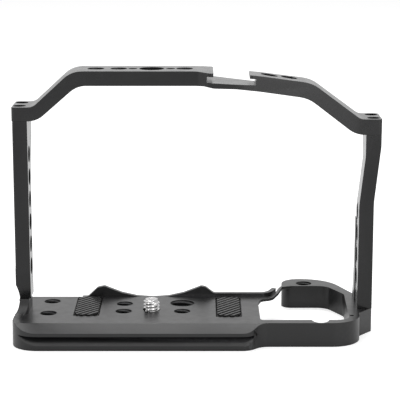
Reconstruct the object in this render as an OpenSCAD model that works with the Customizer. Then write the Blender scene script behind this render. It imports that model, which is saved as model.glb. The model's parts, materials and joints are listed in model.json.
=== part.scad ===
// Camera cage for a small mirrorless camera.
// A base plate with a battery window and a bar in front of the grip, two side
// plates and a top beam with a cold shoe, screwed and pinned at four corners.
// Origin: axis of the camera screw on the seat face. X runs along the camera,
// Y points to the lens side, Z is up.

/* [Base plate] */
// Thickness of the plate below the seat face
plate_t = 9.5; // [9:0.1:11]
// Left end of the plate
plate_left = -52.9; // [-54:0.1:-52.9]
// Near edge of the bottom lip
plate_near = -24.8; // [-25.5:0.1:-24.6]
// Far edge of the seat face
plate_far = 18.9; // [18.4:0.1:19.5]
// Left edge of the battery window
window_left = 42.2; // [41.5:0.1:43]
// Near edge of the seat face and of the window's wall
seat_near = -19.4; // [-19.6:0.1:-19.2]
// Height of the bevel along the near edge
bevel_h = 2.7; // [2.2:0.1:3]
// Depth of the top of the quick-release groove below the seat
groove_top = 4.0; // [3.6:0.1:4.2]
// Height of the lip under the quick-release groove
lip_h = 1.8; // [1.6:0.1:2.4]
// Depth of the quick-release groove
groove_depth = 3.3; // [2.6:0.1:3.5]

/* [Window and grip bar] */
// Right end of the ring around the window
ring_right = 80.9; // [80.5:0.1:81.2]
// Outer face of the right corner block
block_right = 86.6; // [86.3:0.1:86.7]
// Width of the wall on the near side of the window
ring_wall = 4.5; // [4:0.1:5]
// Far edge of the bar in front of the grip
bar_far = 47.2; // [46.5:0.1:48]
// Near edge of the bar in front of the grip
bar_near = 35.6; // [35:0.1:36.4]
// Left end of the bar
bar_left = 53.0; // [52.6:0.1:53.6]
// Thickness of the web that ties the bar to the plate
web_t = 1.1; // [1:0.1:2]

/* [Wing on the lens side] */
// Height of the wing's two humps above the seat
wing_h = 4.3; // [4:0.1:4.6]
// Height of the low rail right of the humps
rail_h = 1.4; // [1:0.1:2]
// Thickness of the wing
wing_t = 2.1; // [1.8:0.1:2.6]

/* [Side plates] */
// Thickness of both side plates
side_t = 5.8; // [5.6:0.1:5.9]
// Top of the left side plate
left_top = 75.25; // [75:0.05:75.6]
// Top of the foot that carries the left side plate
foot_h = 5.5; // [5:0.1:6.5]
// Top of the right side plate
right_top = 69.1; // [69:0.05:69.4]
// Near face of the left side plate
left_near = -4.8; // [-5.2:0.1:-4.5]
// Near face of the right side plate
right_near = 1.0; // [0.7:0.1:1.3]
// How far the right side plate steps outward towards its top
right_step = 2.4; // [2.2:0.1:2.5]
// Depth of the waist around the foot of the left side plate
waist_depth = 1.4; // [1:0.1:1.6]

/* [Top beam] */
// Top face of the beam's level part
beam_top = 94.4; // [94:0.1:95]
// Thickness of the beam's level part
beam_t = 5.6; // [5.4:0.1:5.8]
// Far edge of the beam's level part
beam_far = 12.6; // [12.4:0.1:12.9]
// Near edge of the beam beside the cold shoe
beam_near = -7.0; // [-7.5:0.1:-6.6]
// Slope of the cold shoe down to the right, in degrees
shoe_tilt = 3.0; // [2.6:0.1:3.4]

/* [Cold shoe] */
// Width of the cold shoe's slot
shoe_w = 18.6; // [18.5:0.05:18.8]
// Opening between the cold shoe's lips
shoe_gap = 13.8; // [13.4:0.1:14]
// Height of the slot under the lips
shoe_h = 2.3; // [2.2:0.05:2.35]
// Thickness of the lips
shoe_lip = 1.4; // [1.3:0.05:1.5]

/* [Threaded holes] */
// Diameter of the quarter-inch holes
quarter_d = 6.35; // [6.3:0.05:6.4]
// Diameter of the three-eighths holes
three_eighths_d = 9.53; // [9.5:0.01:9.6]
// Distance between neighbouring holes in a side plate
side_pitch = 8.85; // [8.7:0.05:8.95]
// Diameter of the locating holes beside the top hole
locator_d = 3.4; // [3:0.1:3.6]
// Distance of a locating hole from the top hole
locator_offset = 7.25; // [7:0.05:7.5]

/* [Camera screw] */
// Outer diameter of the camera screw's thread
screw_d = 6.3; // [6.2:0.05:6.3]
// Height of the screw above the seat when it is up
screw_out = 4.3; // [4:0.1:5]
// Diameter of the plain neck under the thread
neck_d = 5.0; // [4.6:0.1:5.2]
// Diameter of the screw's head
head_d = 11.6; // [11.2:0.1:11.8]
// Thickness of the screw's head
head_t = 1.8; // [1.6:0.1:2]
// Thickness of the plate left above the head's recess
skin_t = 2.5; // [2.4:0.1:3]

/* [Grip pads] */
// Width of a pad
pad_w = 10.1; // [9.6:0.1:10.4]
// Height of a pad above the seat face
pad_proud = 0.5; // [0.3:0.1:0.8]
// Depth of the pocket that holds a pad
pad_pocket = 0.7; // [0.5:0.1:1]

/* [Corner fasteners] */
// Diameter of the corner screws
bolt_d = 2.5; // [2.4:0.1:2.6]
// Diameter of a corner screw's head
bolt_head_d = 4.5; // [4.4:0.1:4.6]
// Diameter of the counterbores
counterbore_d = 4.9; // [4.8:0.1:5]
// Diameter of the dowel pins
dowel_d = 1.5; // [1.4:0.1:1.6]
// Length of the dowel pins
dowel_len = 6; // [5:0.5:6]

/* [Hidden] */

$fn = 64;
eps = 0.02;
plate_bottom = -plate_t;

// Left side plate and its foot
left_outer = -52.6;
left_inner = left_outer + side_t;
left_far = 5.3;
left_foot_far = 6.2;
left_far_top = 10.7;
waist_r = 14;
waist_z = 4.8;
foot_mid_x = -49.35;
foot_inner = -47.4;
foot_fillet = 8;

// Right side plate
right_inner = 80.75;
right_inner_step = 2.15;
right_turn = 1.4;
right_drop = 12;
right_outer = right_inner + side_t;
right_far = 16.0;
right_far_top = 17.4;
right_foot_far = 21.5;
right_web_t = 1.9;

// Top beam
left_block_top = left_top + 5.4;
right_block_top = right_top + 6.1;
beam_bottom = beam_top - beam_t;
left_end = -52.8;
right_end = 89.1;
shoe_x = 31.0;
shoe_z = 93.43;
shoulder_tilt = 9.0;
slope_turn_left = 2.4;
slope_turn_right = 1.3;
top_hole_x = 0.5;
top_hole_y = 4.2;
top_quarter_offsets = [-21.4, -12.6, 12.6];
shoulder_holes = [[45.5, 3.0, 92.1], [53.2, 5.3, 90.87]];

// Corner screws: [x, y, z] of the seat under each head
top_left_x = -50.0;
top_left_ys = [-0.3, 8.7];
top_right_x = 86.0;
top_right_ys = [5.0, 14.0];
base_left_ys = [-2.0, 3.6];
base_right_x = 83.2;
base_right_ys = [4.2, 11.6];
bolt_head_h = 1.6;
bolt_hole_d = 2.8;
bolt_clear = 0.03;
top_head_depth = 3.3;
top_bolt_len = 9;
left_bolt_seat = -2.5;
left_bolt_len = 14;
right_bolt_seat = -4;
right_bolt_len = 12;
dowel_clear = 0.02;

// Camera screw recess
recess_d = 13.0;
circlip_groove_d = 14.6;
circlip_inner_d = 10.0;
circlip_t = 0.8;
circlip_z = -9.3;
washer_t = 0.4;
washer_d = 11.2;
washer_clear = 0.08;
washer_top = -skin_t - 0.05;
head_top = washer_top - washer_t - 0.05;
screw_hole_d = 6.8;

// Threaded holes in the base plate
base_quarter_holes = [[-40, 11.9], [-40, -5.4], [-10.9, 8.3], [-10.9, -2.6], [12, -2.6]];
base_three_eighths = [12, 9.2];
bar_hole = [62.3, 39.9];
lock_hole = [77.8, -8.8];
lock_hole_d = 1.6;
lens_r = 43;

left_holes = [for (i = [0:5]) 17.6 + i * side_pitch];
left_holes_y = 0.25;
right_holes = [for (i = [0:3]) 11.2 + i * side_pitch];
right_holes_y = 8.6;

left_pad = [-25.15, 4.1, 27.6];
right_pad = [30.2, 3.05, 28.1];
pad_r = 1.2;

// ---------------------------------------------------------------- outlines

function unit(v) = v / norm(v);

// Points of an arc of radius r that rounds the corner b between a and c
function corner_arc(a, b, c, r) =
    let (u = unit([a.x, a.y] - [b.x, b.y]),
         v = unit([c.x, c.y] - [b.x, b.y]),
         half = acos(u * v) / 2,
         centre = [b.x, b.y] + unit(u + v) * r / sin(half),
         p = [b.x, b.y] + u * r / tan(half) - centre,
         q = [b.x, b.y] + v * r / tan(half) - centre,
         start = atan2(p.y, p.x),
         turn = atan2(p.x * q.y - p.y * q.x, p * q),
         steps = max(2, ceil(abs(turn) / 9)))
    [for (i = [0:steps]) centre + r * [cos(start + turn * i / steps),
                                       sin(start + turn * i / steps)]];

// Closed outline from corners [x, y, radius]
function rounded(corners) =
    let (n = len(corners))
    [for (i = [0:n - 1])
        let (a = corners[(i + n - 1) % n], b = corners[i], c = corners[(i + 1) % n])
        each b[2] == 0 ? [[b.x, b.y]] : corner_arc(a, b, c, b[2])];

// Slab between two heights from an outline in the XY plane
module slab(outline, low, high) {
    translate([0, 0, low])
        linear_extrude(high - low)
            polygon(outline);
}

// Solid along Y from an outline given as [x, z]
module along_y(outline, near, far) {
    translate([0, far, 0])
        rotate([90, 0, 0])
            linear_extrude(far - near)
                polygon(outline);
}

// Solid along X from an outline given as [y, z]
module along_x(outline, left, right) {
    translate([left, 0, 0])
        rotate([90, 0, 90])
            linear_extrude(right - left)
                polygon(outline);
}

module hole_z(x, y, d, low, high) {
    translate([x, y, low])
        cylinder(d = d, h = high - low);
}

module hole_x(y, z, d, left, right) {
    translate([left, y, z])
        rotate([0, 90, 0])
            cylinder(d = d, h = right - left);
}

// ---------------------------------------------------------------- base plate

// Plate with its rounded near corner and the step back to the window's wall
plate_outline = rounded([
    [plate_left, plate_near, 10], [37.6, plate_near, 6], [42.6, seat_near, 6],
    [47, seat_near, 0], [47, seat_near + 3, 0], [window_left, seat_near + 3, 0],
    [window_left, plate_far, 0], [plate_left, plate_far, 4]]);

// Ring around the battery window, open at the left end of the grip bar
ring_outline = rounded([
    [38, seat_near, 0], [ring_right, seat_near, 11.5],
    [ring_right, -5.4, 2.5], [block_right, 2.0, 1.5],
    [block_right, 15.0, 5], [82.0, 22.2, 14], [72.0, bar_far, 15.5],
    [bar_left, bar_far, 7.3], [bar_left, bar_near, 4],
    [71.2, bar_near, 6], [77.6, 22.5, 6],
    [76.4, seat_near + ring_wall, 5],
    [window_left, seat_near + ring_wall, 1.5], [window_left, -6, 0], [38, -6, 0]]);

// Thin web from the plate's far right corner to the grip bar
web_outline = rounded([
    [window_left - 2, 9, 0], [window_left, 9, 0], [43.6, 14.6, 2.5],
    [48.2, 16.4, 5], [51.2, 25.6, 20], [bar_left, bar_near - 1.6, 0], [57, bar_near, 0],
    [58, bar_far - 0.1, 0], [56.4, 46, 3], [51.3, 32, 16], [50.2, 27, 0],
    [47.4, plate_far + 1, 0], [window_left - 2, plate_far + 1, 0]]);

module plate_body() {
    bevel_drop = 8 * bevel_h / (seat_near - plate_near);
    groove_bottom = plate_bottom + lip_h;
    // the lower flank rises from the lip to the groove's ceiling
    flank = groove_depth / (-groove_top - groove_bottom);
    difference() {
        slab(plate_outline, plate_bottom, 0);
        // bevel along the near edge
        along_x([[seat_near, 0], [seat_near - 8, -bevel_drop],
                 [seat_near - 8, 1], [seat_near, 1]], plate_left - 1, 60);
        // quick-release groove, near side
        along_x([[plate_near - flank, -groove_top], [plate_near - flank, groove_bottom - 1],
                 [plate_near + groove_depth, -groove_top]], plate_left - 1, 60);
        // the same groove on the far side
        along_x([[plate_far + flank, groove_bottom - 1], [plate_far + flank, -groove_top],
                 [plate_far - groove_depth, -groove_top]], plate_left - 1, 60);
    }
}

module ring_and_bar() {
    difference() {
        slab(ring_outline, plate_bottom, 0);
        // slanted scallop in the inner edge of the near wall
        translate([65.2, -14.3, 0])
            rotate([45, 0, 0])
                translate([0, 0, -12])
                    cylinder(r = 3.3, h = 24);
    }
}

// Two humps with a round lens relief between them, then a low rail to the right
module wing() {
    wing_foot = -groove_top;
    outline = rounded([
        [-28.5, wing_foot, 0], [window_left, wing_foot, 0], [window_left, -web_t, 0],
        [45, -web_t, 0], [45, rail_h, 0],
        [24.6, rail_h, 2], [21.3, wing_h - 0.35, 1.8], [19.4, wing_h, 1.5],
        [0, -4.9, lens_r], [-19.5, wing_h + 0.05, 1.5], [-22.4, wing_h - 0.55, 2],
        [-26.3, 0, 1.5], [-28.5, 0, 0]]);
    along_y(outline, plate_far - eps, plate_far + wing_t);
}

// End of the rail, curled along the web towards the grip bar
module rail_tip() {
    tip = rounded([
        [44.8, plate_far, 0], [47.4, plate_far, 6], [50.1, 27.0, 0],
        [48.5, 27.6, 0], [45.9, plate_far + wing_t, 4], [44.8, plate_far + wing_t, 0]]);
    slab(tip, -web_t, rail_h);
}

// Foot of the left side plate with a concave near side
module left_foot() {
    side = concat(
        [[left_foot_far, -1], [left_foot_far, foot_h], [left_near, foot_h]],
        [for (a = [-18:-9:-90]) [left_near - foot_fillet + foot_fillet * cos(a),
                                 foot_fillet + foot_fillet * sin(a)]],
        [[left_near - foot_fillet, -1]]);
    // its inner side narrows towards the near edge of the plate
    plan = rounded([
        [left_outer - 1, -14, 0], [-50.8, -14, 0], [foot_inner, -6.2, 6],
        [foot_inner, left_foot_far + 1, 0], [left_outer - 1, left_foot_far + 1, 0]]);
    intersection() {
        along_x(side, left_outer, foot_inner + 1);
        slab(plan, -1, foot_h);
    }
}

// Smooth waist on the outer side of the left foot
module waist_cut() {
    x = left_outer + waist_depth - waist_r;
    translate([x, left_near, waist_z])
        rotate([-90, 0, 0])
            cylinder(r = waist_r, h = 40, $fn = 96);
    translate([x, left_near, waist_z])
        sphere(r = waist_r, $fn = 96);
}

module screw_recess() {
    hole_z(0, 0, screw_hole_d, -plate_t, 1);
    hole_z(0, 0, recess_d, plate_bottom - 1, -skin_t);
    hole_z(0, 0, circlip_groove_d, circlip_z, circlip_z + circlip_t);
}

module pad_outline_slab(pad, grow, low, high) {
    w = pad_w / 2 + grow;
    l = pad[2] / 2 + grow;
    slab(rounded([
        [pad.x - w, pad.y - l, pad_r], [pad.x + w, pad.y - l, pad_r],
        [pad.x + w, pad.y + l, pad_r], [pad.x - w, pad.y + l, pad_r]]), low, high);
}

module base_plate() {
    color([0.13, 0.13, 0.14])
        difference() {
            union() {
                plate_body();
                ring_and_bar();
                slab(web_outline, -web_t, 0);
                wing();
                rail_tip();
                left_foot();
            }
            waist_cut();
            screw_recess();
            for (p = base_quarter_holes)
                hole_z(p.x, p.y, quarter_d, plate_bottom - 1, 1);
            hole_z(base_three_eighths.x, base_three_eighths.y, three_eighths_d,
                   plate_bottom - 1, 1);
            hole_z(bar_hole.x, bar_hole.y, quarter_d, plate_bottom - 1, 1);
            hole_z(lock_hole.x, lock_hole.y, lock_hole_d, -5, 1);
            pad_outline_slab(left_pad, 0, -pad_pocket, 1);
            pad_outline_slab(right_pad, 0, -pad_pocket, 1);
            for (y = base_left_ys) {
                hole_z(foot_mid_x, y, bolt_hole_d, plate_bottom - 1, foot_h + 1);
                hole_z(foot_mid_x, y, counterbore_d, plate_bottom - 1, left_bolt_seat);
            }
            for (y = base_right_ys) {
                hole_z(base_right_x, y, bolt_hole_d, plate_bottom - 1, 1);
                hole_z(base_right_x, y, counterbore_d, plate_bottom - 1, right_bolt_seat);
            }
            dowel_hole(foot_mid_x, base_left_dowel_y, foot_h);
            dowel_hole(base_right_x, base_right_dowel_y, 0);
        }
}

// ---------------------------------------------------------------- side plates

base_left_dowel_y = (base_left_ys[0] + base_left_ys[1]) / 2;
base_right_dowel_y = (base_right_ys[0] + base_right_ys[1]) / 2;
top_left_dowel_y = (top_left_ys[0] + top_left_ys[1]) / 2;
top_right_dowel_y = (top_right_ys[0] + top_right_ys[1]) / 2;

module dowel_hole(x, y, z) {
    hole_z(x, y, dowel_d + 2 * dowel_clear, z - dowel_len / 2 - 0.1, z + dowel_len / 2 + 0.1);
}

module left_side_plate() {
    side = rounded([
        [left_near, foot_h, 0], [left_foot_far, foot_h, 0], [left_far, 15, 30],
        [left_far, 56, 20], [left_far_top, 67.8, 14], [left_far_top, left_top, 0],
        [left_near, left_top, 0]]);
    color([0.15, 0.15, 0.16])
        difference() {
            along_x(side, left_outer, left_inner);
            waist_cut();
            for (z = left_holes)
                hole_x(left_holes_y, z, quarter_d, left_outer - 1, left_inner + 1);
            for (y = top_left_ys)
                hole_z(top_left_x, y, bolt_d, left_top - 8, left_top + 1);
            for (y = base_left_ys)
                hole_z(foot_mid_x, y, bolt_d, foot_h - 1, left_bolt_seat + left_bolt_len + 0.5);
            dowel_hole(top_left_x, top_left_dowel_y, left_top);
            dowel_hole(foot_mid_x, base_left_dowel_y, foot_h);
        }
}

module right_side_plate() {
    front = rounded([
        [right_inner, -20, 0], [right_outer, -20, 0], [right_outer, 42, 30],
        [right_outer + right_step, 63.6, 16], [right_outer + right_step, 90, 0],
        [right_inner + right_inner_step, 90, 0], [right_inner + right_inner_step, 59.8, 14],
        [right_inner, 41, 30]]);
    side = rounded([
        [right_near, 0, 0], [right_far, 0, 0],
        [right_far, 61, 20], [right_far_top, 66, 20], [right_far_top, right_top, 0],
        [right_near, right_top, 0]]);
    flare = rounded([
        [right_far - 3, 0, 0], [right_foot_far, 0, 0], [right_far + 0.6, 17, 40],
        [right_far - 0.1, 34, 0], [right_far - 3, 34, 0]]);
    color([0.15, 0.15, 0.16])
        difference() {
            union() {
                intersection() {
                    // the bends of the step drop and swing out towards the lens side
                    translate([0, right_near, 0])
                        rotate([-right_drop, 0, -right_turn])
                            along_y(front, -30, 50);
                    along_x(side, right_inner - 1, right_outer + right_step + 1);
                }
                // thin flare that meets the ring behind the plate
                along_x(flare, right_inner, right_inner + right_web_t);
            }
            for (z = right_holes)
                hole_x(right_holes_y, z, quarter_d, right_inner - 3, right_outer + 3);
            for (y = top_right_ys)
                hole_z(top_right_x, y, bolt_d, right_top - 8, right_top + 1);
            for (y = base_right_ys)
                hole_z(base_right_x, y, bolt_d, -1, right_bolt_seat + right_bolt_len + 0.5);
            dowel_hole(top_right_x, top_right_dowel_y, right_top);
            dowel_hole(base_right_x, base_right_dowel_y, 0);
        }
}

// ---------------------------------------------------------------- top beam

// Front view of the beam: left slope, middle with the cold shoe, right slope
left_slope = rounded([
    [left_end - 3, left_top, 0], [-43.1, left_top, 9], [-27.6, beam_bottom, 9],
    [-20, beam_bottom, 0], [-20, beam_top, 0], [-29.7, beam_top, 10],
    [-44.6, left_block_top, 4.5], [left_end - 3, left_block_top, 0]]);
middle = rounded([
    [-22, beam_bottom, 0], [20.6, beam_bottom, 4], [24.2, 88.05, 5], [33, 87.8, 30],
    [41.5, 86.75, 60], [56, 84.4, 0], [56, 90.43, 0], [40.2, 92.95, 60],
    [22, 93.9, 20], [17.6, beam_top, 20], [-22, beam_top, 0]]);
right_slope = rounded([
    [54, 84.72, 0], [60.3, 83.7, 13], [78.9, right_top, 10], [right_end + 3, right_top, 0],
    [right_end + 3, right_block_top, 0], [80.7, right_block_top, 4.5],
    [61.8, 89.5, 13], [54, 90.75, 0]]);

// Plan of the beam: it swells by the cold shoe and sweeps back to the right
beam_plan = rounded([
    [left_end, left_near, 1.2], [17.6, left_near, 5], [22.8, beam_near, 5],
    [34.5, beam_near, 40], [79.5, right_near, 20], [right_end, right_near, 1.2],
    [right_end, 17.5, 1.5], [80, 17.5, 14], [44, 8.7, 20], [39.3, 7.5, 3],
    [24.2, 15.8, 3], [20.5, 15.2, 4], [18.2, beam_far, 4], [left_end, beam_far, 1.5]]);

// Slot under the lips, and the opening between them with its rounded mouth
module cold_shoe_cut() {
    depth = 80;
    rise = 10;
    floor_z = -shoe_lip - shoe_h;
    half = shoe_gap / 2;
    right_mouth = beam_near + 0.6;
    opening = rounded([
        [-half - 3, -40, 0], [half + 3, -40, 0], [half + 3, right_mouth + 0.5, 0],
        [half, right_mouth, 1], [half, 40, 0], [-half, 40, 0],
        [-half, beam_near, 1], [-half - 3, beam_near, 0]]);
    translate([shoe_x, 0, shoe_z])
        rotate([0, shoe_tilt, 0]) {
            translate([-shoe_w / 2, -depth / 2, floor_z])
                cube([shoe_w, depth, shoe_h]);
            slab(opening, floor_z, floor_z + rise);
        }
}

// Length of profile that is turned a little about its near edge
module turned_profile(outline, pivot_x, pivot_y, turn) {
    translate([pivot_x, pivot_y, 0])
        rotate([0, 0, turn])
            translate([-pivot_x, -pivot_y, 0])
                along_y(outline, -20, 30);
}

module top_hole(x, d) {
    hole_z(x, top_hole_y, d, beam_bottom - 1, beam_top + 1);
}

module top_beam() {
    color([0.16, 0.16, 0.17])
        difference() {
            intersection() {
                union() {
                    turned_profile(left_slope, -36, left_near, slope_turn_left);
                    along_y(middle, -20, 30);
                    turned_profile(right_slope, 62, -2, -slope_turn_right);
                }
                slab(beam_plan, 60, 100);
            }
            cold_shoe_cut();
            top_hole(top_hole_x, three_eighths_d);
            for (s = [-1, 1])
                top_hole(top_hole_x + s * locator_offset, locator_d);
            for (dx = top_quarter_offsets)
                top_hole(top_hole_x + dx, quarter_d);
            for (p = shoulder_holes)
                translate(p)
                    rotate([0, shoulder_tilt, 0])
                        cylinder(d = quarter_d, h = 20, center = true);
            for (y = top_left_ys) {
                hole_z(top_left_x, y, bolt_hole_d, left_top - 1, left_block_top + 1);
                hole_z(top_left_x, y, counterbore_d, left_block_top - top_head_depth,
                       left_block_top + 1);
            }
            for (y = top_right_ys) {
                hole_z(top_right_x, y, bolt_hole_d, right_top - 1, right_block_top + 1);
                hole_z(top_right_x, y, counterbore_d, right_block_top - top_head_depth,
                       right_block_top + 1);
            }
            dowel_hole(top_left_x, top_left_dowel_y, left_top);
            dowel_hole(top_right_x, top_right_dowel_y, right_top);
        }
}

// ---------------------------------------------------------------- camera screw

module camera_screw() {
    chamfer = 0.7;
    slot_w = 1.6;
    slot_depth = 1.0;
    color("silver")
        difference() {
            union() {
                translate([0, 0, head_top - head_t])
                    cylinder(d = head_d, h = head_t);
                translate([0, 0, head_top - eps])
                    cylinder(d = neck_d, h = 2 * eps - head_top);
                cylinder(d = screw_d, h = screw_out - chamfer);
                translate([0, 0, screw_out - chamfer])
                    cylinder(d1 = screw_d, d2 = screw_d - 2 * chamfer, h = chamfer);
            }
            translate([-head_d, -slot_w / 2, head_top - head_t - 1])
                cube([2 * head_d, slot_w, slot_depth + 1]);
        }
}

module screw_washer() {
    color("gainsboro")
        translate([0, 0, washer_top - washer_t])
            difference() {
                cylinder(d = washer_d, h = washer_t);
                translate([0, 0, -1])
                    cylinder(d = neck_d + 2 * washer_clear, h = washer_t + 2);
            }
}

// Open retaining ring that keeps the head inside its recess
module screw_circlip() {
    gap = 5;
    color("dimgray")
        translate([0, 0, circlip_z])
            difference() {
                cylinder(d = circlip_groove_d, h = circlip_t);
                translate([0, 0, -1])
                    cylinder(d = circlip_inner_d, h = circlip_t + 2);
                translate([0, -gap / 2, -1])
                    cube([circlip_groove_d, gap, circlip_t + 2]);
            }
}

// ---------------------------------------------------------------- grip pads

module grip_pad(pad) {
    color([0.06, 0.06, 0.06])
        pad_outline_slab(pad, 0, -pad_pocket, pad_proud);
}

module left_grip_pad() {
    grip_pad(left_pad);
}

module right_grip_pad() {
    grip_pad(right_pad);
}

// ---------------------------------------------------------------- fasteners

// Socket screw with its head seat at z, the shank running along dir
module corner_bolt(x, y, z, dir, shank) {
    key = 2;
    key_depth = 1;
    color([0.2, 0.2, 0.21])
        translate([x, y, z])
            rotate([dir > 0 ? 0 : 180, 0, 0])
                difference() {
                    union() {
                        translate([0, 0, -bolt_head_h])
                            cylinder(d = bolt_head_d, h = bolt_head_h);
                        translate([0, 0, -eps])
                            cylinder(d = bolt_d - 2 * bolt_clear, h = shank + eps);
                    }
                    translate([0, 0, -bolt_head_h - 1])
                        cylinder(d = key / cos(30), h = key_depth + 1, $fn = 6);
                }
}

module top_left_bolt(i) {
    corner_bolt(top_left_x, top_left_ys[i], left_block_top - top_head_depth, -1, top_bolt_len);
}

module top_right_bolt(i) {
    corner_bolt(top_right_x, top_right_ys[i], right_block_top - top_head_depth, -1, top_bolt_len);
}

module base_left_bolt(i) {
    corner_bolt(foot_mid_x, base_left_ys[i], left_bolt_seat, 1, left_bolt_len);
}

module base_right_bolt(i) {
    corner_bolt(base_right_x, base_right_ys[i], right_bolt_seat, 1, right_bolt_len);
}

module dowel(x, y, z) {
    color("silver")
        translate([x, y, z - dowel_len / 2])
            cylinder(d = dowel_d, h = dowel_len);
}

base_plate();
left_side_plate();
right_side_plate();
top_beam();
camera_screw();
screw_washer();
screw_circlip();
left_grip_pad();
right_grip_pad();
top_left_bolt(0);  // top_left_screw_near
top_left_bolt(1);  // top_left_screw_far
top_right_bolt(0);  // top_right_screw_near
top_right_bolt(1);  // top_right_screw_far
base_left_bolt(0);  // base_left_screw_near
base_left_bolt(1);  // base_left_screw_far
base_right_bolt(0);  // base_right_screw_near
base_right_bolt(1);  // base_right_screw_far
dowel(top_left_x, top_left_dowel_y, left_top);  // top_left_dowel
dowel(top_right_x, top_right_dowel_y, right_top);  // top_right_dowel
dowel(foot_mid_x, base_left_dowel_y, foot_h);  // base_left_dowel
dowel(base_right_x, base_right_dowel_y, 0);  // base_right_dowel
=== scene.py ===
"""Looks of a machined camera cage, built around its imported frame.

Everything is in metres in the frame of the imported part: X runs along the
camera, Y points to the lens side and Z is up. The origin is on the axis of the
camera screw, at the seat face of the base plate.
"""

import json
import logging
import math
from collections.abc import Callable
from dataclasses import dataclass
from enum import Enum

import bmesh
import bpy
from mathutils import Matrix, Vector

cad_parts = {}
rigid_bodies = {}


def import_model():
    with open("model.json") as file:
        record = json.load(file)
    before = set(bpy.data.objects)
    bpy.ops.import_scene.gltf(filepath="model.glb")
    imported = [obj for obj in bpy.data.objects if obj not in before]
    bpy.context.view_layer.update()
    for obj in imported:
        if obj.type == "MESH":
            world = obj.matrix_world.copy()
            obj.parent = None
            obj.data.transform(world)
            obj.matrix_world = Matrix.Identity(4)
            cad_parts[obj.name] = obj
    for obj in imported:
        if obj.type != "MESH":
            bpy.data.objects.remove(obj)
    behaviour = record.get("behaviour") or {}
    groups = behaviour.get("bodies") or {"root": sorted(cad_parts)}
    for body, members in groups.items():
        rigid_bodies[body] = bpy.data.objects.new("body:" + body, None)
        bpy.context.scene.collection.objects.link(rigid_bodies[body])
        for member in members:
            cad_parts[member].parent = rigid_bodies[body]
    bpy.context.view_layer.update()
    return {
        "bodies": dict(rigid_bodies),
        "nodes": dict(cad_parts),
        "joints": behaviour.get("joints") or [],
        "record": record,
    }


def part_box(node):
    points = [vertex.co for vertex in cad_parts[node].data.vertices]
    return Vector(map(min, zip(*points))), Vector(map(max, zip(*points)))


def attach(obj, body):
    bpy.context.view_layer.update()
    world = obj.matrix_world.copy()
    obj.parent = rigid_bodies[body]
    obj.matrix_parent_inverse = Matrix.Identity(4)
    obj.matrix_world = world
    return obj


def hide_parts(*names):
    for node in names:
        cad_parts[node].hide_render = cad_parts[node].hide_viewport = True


LOG = logging.getLogger("camera_cage")
MM = 0.001
Point = tuple[float, float, float]
Colour = tuple[float, float, float]
Radius = float | Callable[[float], float]

# The faces at the mouth of a hole turn by more than this
RIM_DEG = 60.0

# Corners nearer than this are one, and faces that turn by less than this are flat
WELD = 0.001 * MM
FLAT_DEG = 0.4


class Body(Enum):
    """Rigid bodies of the cage."""

    CAGE = "cage"
    WASHER = "thrust_washer"
    SCREW = "captive_screw"


class Slot(Enum):
    """Material slots of the record."""

    BASE = "base_anodised"
    SIDE = "side_anodised"
    BEAM = "beam_anodised"
    SCREW = "screw_steel"
    WASHER = "washer_steel"
    CIRCLIP = "circlip_steel"
    BLACK_OXIDE = "black_oxide"
    DOWEL = "dowel_steel"
    PAD = "pad_rubber"


# --------------------------------------------------------------- node graphs


class NodeGraph:
    """Writes the node tree of a material or a world."""

    def __init__(self, owner: bpy.types.Material | bpy.types.World, output: str) -> None:
        """Starts an empty tree.

        Args:
            owner: The material or the world.
            output: Blender's identifier of its output node.
        """
        owner.use_nodes = True
        self.tree = owner.node_tree
        self.tree.nodes.clear()
        self.output = self.add(output)

    def add(self, kind: str, **settings: object) -> bpy.types.Node:
        """Adds a node.

        Args:
            kind: Blender's identifier of the node.
            **settings: Properties of the node, set as they are.

        Returns:
            The new node.
        """
        node = self.tree.nodes.new(kind)
        for key, value in settings.items():
            setattr(node, key, value)
        return node

    def link(self, source: bpy.types.NodeSocket, target: bpy.types.NodeSocket) -> None:
        """Joins two sockets."""
        self.tree.links.new(source, target)

    def value(self, operation: str, *terms: bpy.types.NodeSocket | float) -> bpy.types.NodeSocket:
        """Works out a number from others.

        Args:
            operation: Blender's name of the operation, such as MULTIPLY.
            *terms: Sockets or plain numbers.

        Returns:
            The result.
        """
        node = self.add("ShaderNodeMath", operation=operation)
        for term, socket in zip(terms, node.inputs):
            if isinstance(term, bpy.types.NodeSocket):
                self.link(term, socket)
            else:
                socket.default_value = term
        return node.outputs[0]


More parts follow.
